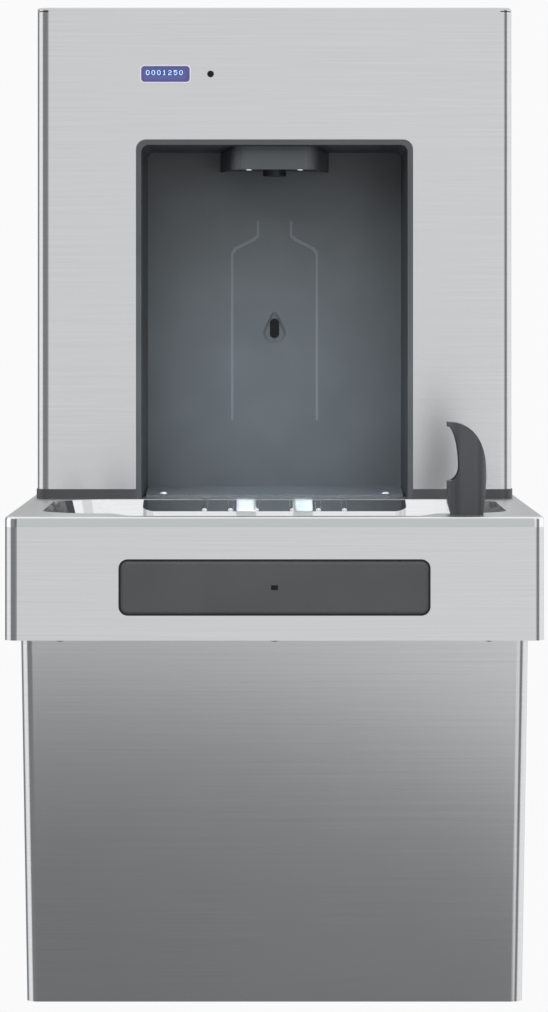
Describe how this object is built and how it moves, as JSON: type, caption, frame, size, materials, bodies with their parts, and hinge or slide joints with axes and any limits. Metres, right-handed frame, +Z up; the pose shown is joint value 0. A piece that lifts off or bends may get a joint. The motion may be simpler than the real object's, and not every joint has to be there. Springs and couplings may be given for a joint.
{
  "type": "bottle filling station",
  "caption": "Wall-hung drinking water unit: a recessed bottle-filling alcove over a stainless basin with bubbler and push bar, above a cabinet that slopes back to the wall.",
  "frame": {"origin": "Centre of the rectangle of the four lower wall bolts, on the wall plane", "axes": "+Z up, +X to the right for a person who faces the unit, +Y into the wall; the front faces -Y"},
  "size_m": [0.467, 0.485, 0.9407],
  "materials": {
    "stainless": "satin brushed",
    "polished": "bright polished",
    "galvanised": "galvanised, dull",
    "trim": "smooth moulded",
    "charcoal": "fine moulded grain",
    "bar": "fine moulded grain",
    "guard": "smooth moulded",
    "black_plastic": "moulded",
    "white_plastic": "moulded",
    "red_plastic": "moulded",
    "light_lens": "clear lens over a light",
    "dark_lens": "dark lens",
    "display": "backlit window",
    "board": "circuit board",
    "brass": "cast and machined",
    "copper": "drawn copper",
    "clear_tube": "tube",
    "bright": "bright steel",
    "black_paint": "gloss black",
    "rubber_black": "moulded",
    "aluminium_fin": "thin fins",
    "insulation": "foam jacket"
  },
  "bodies": {
    "housing": {"upper_shell": "stainless", "upper_cap": "stainless", "upper_back": "galvanised", "base_trim_left": "trim", "base_trim_right": "trim", "alcove_liner": "charcoal", "alcove_sill": "charcoal", "sill_screws": "bright", "nozzle_hood": "charcoal", "nozzle_plate": "trim", "outlet_ring": "black_plastic", "led_lenses": "light_lens", "bottle_sensor_window": "dark_lens", "sensor_housing": "black_plastic", "display_window": "display", "display_board": "board", "indicator_lens": "dark_lens", "control_box": "black_plastic", "filler_valve": "brass", "water_tubes": "clear_tube", "basin": "polished", "drain_strainer": "polished", "drain_tailpiece": "polished", "waste_pipe": "white_plastic", "bubbler_guard": "guard", "bubbler_spout": "polished", "bubbler_nut": "brass", "fascia": "stainless", "fascia_screws": "bright", "under_pan": "galvanised", "guide_bushes": "white_plastic", "return_springs": "bright", "bar_bracket": "galvanised", "switch_body": "black_plastic", "lower_wrapper": "stainless", "bottom_panel": "galvanised", "bottom_screws": "bright", "chassis": "galvanised", "compressor": "black_paint", "compressor_feet": "rubber_black", "terminal_cover": "black_plastic", "condenser": "aluminium_fin", "fan_shroud": "black_plastic", "fan_motor": "galvanised", "chiller_tank": "insulation", "tank_straps": "galvanised", "refrigerant_line": "copper", "bubbler_valve": "brass", "filter_bracket": "galvanised", "filter_head": "charcoal", "inlet_valve": "brass", "junction_box": "galvanised", "cable_gland": "black_plastic"},
    "bar": {"push_bar": "bar", "bar_window": "dark_lens", "guide_pins": "bright"},
    "plunger": {"switch_plunger": "red_plastic"},
    "fan": {"fan_blades": "white_plastic"},
    "cartridge": {"filter_cartridge": "white_plastic"}
  },
  "joints": [
    {"name": "bar_push", "type": "slide", "parent": "housing", "child": "bar", "axis": [0, 1, 0], "range_m": [0, 0.005], "stiffness_N_per_m": 600, "springref_m": -0.006, "deforming": ["return_springs"]},
    {"name": "plunger_push", "type": "slide", "parent": "housing", "child": "plunger", "axis": [0, 1, 0], "range_m": [0, 0.005], "stiffness_N_per_m": 50, "springref_m": -0.002},
    {"name": "fan_spin", "type": "hinge", "parent": "housing", "child": "fan", "pos_m": [0.1918, -0.084, -0.1645], "axis": [1, 0, 0], "continuous": true},
    {"name": "cartridge_turn", "type": "hinge", "parent": "housing", "child": "cartridge", "pos_m": [0.15, -0.054, 0.03], "axis": [0, 0, 1], "range_deg": [0, 90]}
  ],
  "couplings": [
    {"joint": "plunger_push", "follows": "bar_push", "ratio": 1}
  ]
}
